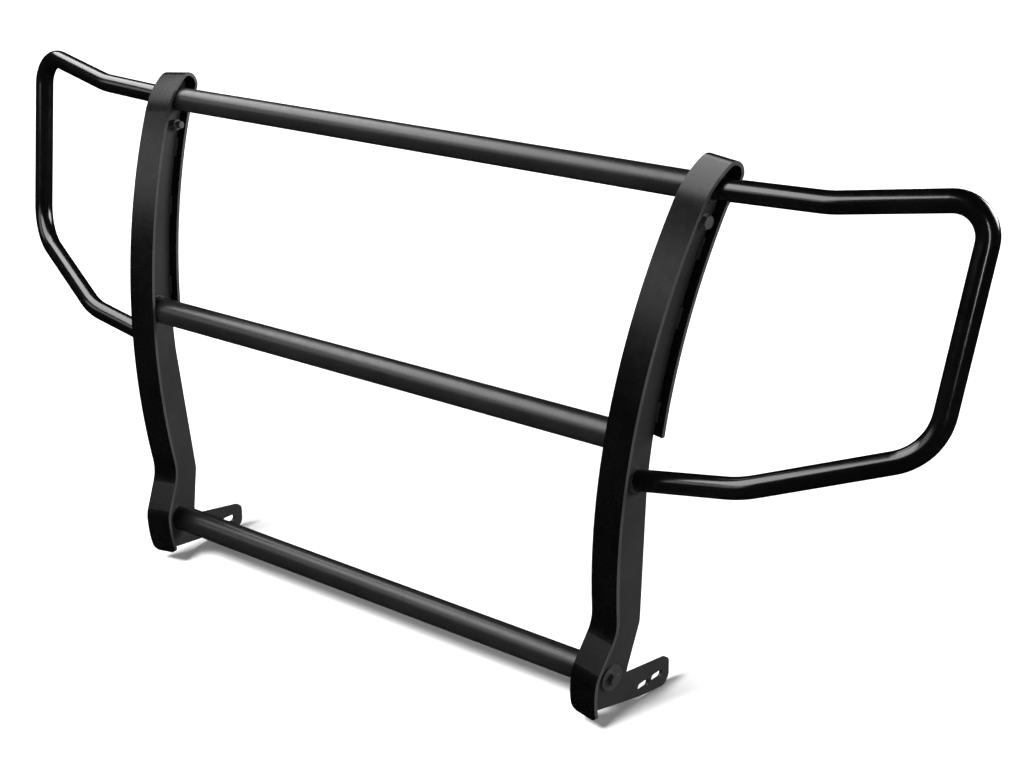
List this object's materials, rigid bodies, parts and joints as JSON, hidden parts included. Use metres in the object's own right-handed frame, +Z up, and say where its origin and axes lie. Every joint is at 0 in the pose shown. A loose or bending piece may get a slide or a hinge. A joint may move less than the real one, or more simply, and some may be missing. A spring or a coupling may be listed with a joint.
{
  "type": "front grille guard",
  "caption": "Bolt-on vehicle grille guard: two curved flanged uprights joined by round crossbars, with a bent tube wing on each side and slotted mounting tabs",
  "frame": {"origin": "centre of the bounding box in X and Y, at its lowest point in Z, which is the underside of the upright feet", "axes": "+X to the viewer's right when the guard is seen from the front, +Y back towards the vehicle, +Z up"},
  "size_m": [1.898, 0.2162, 0.8382],
  "materials": {
    "powder_coat": "satin black powder coat",
    "fastener_black": "black coated steel fastener"
  },
  "bodies": {
    "root": {"web_plate_right": "powder_coat", "web_plate_left": "powder_coat", "flange_strip_right": "powder_coat", "flange_strip_left": "powder_coat", "crossbar_top": "powder_coat", "crossbar_middle": "powder_coat", "crossbar_lower": "powder_coat", "wing_tube_right": "powder_coat", "wing_tube_left": "powder_coat", "stitch_welds_right": "powder_coat", "stitch_welds_left": "powder_coat", "wing_welds_right": "powder_coat", "wing_welds_left": "powder_coat", "crossbar_top_welds": "powder_coat", "crossbar_middle_welds": "powder_coat", "lower_bar_plugs": "powder_coat", "upper_bolts": "fastener_black", "upper_washers": "fastener_black", "upper_nuts": "fastener_black", "lower_bar_washers": "fastener_black", "lower_bar_bolts": "fastener_black"}
  },
  "joints": []
}
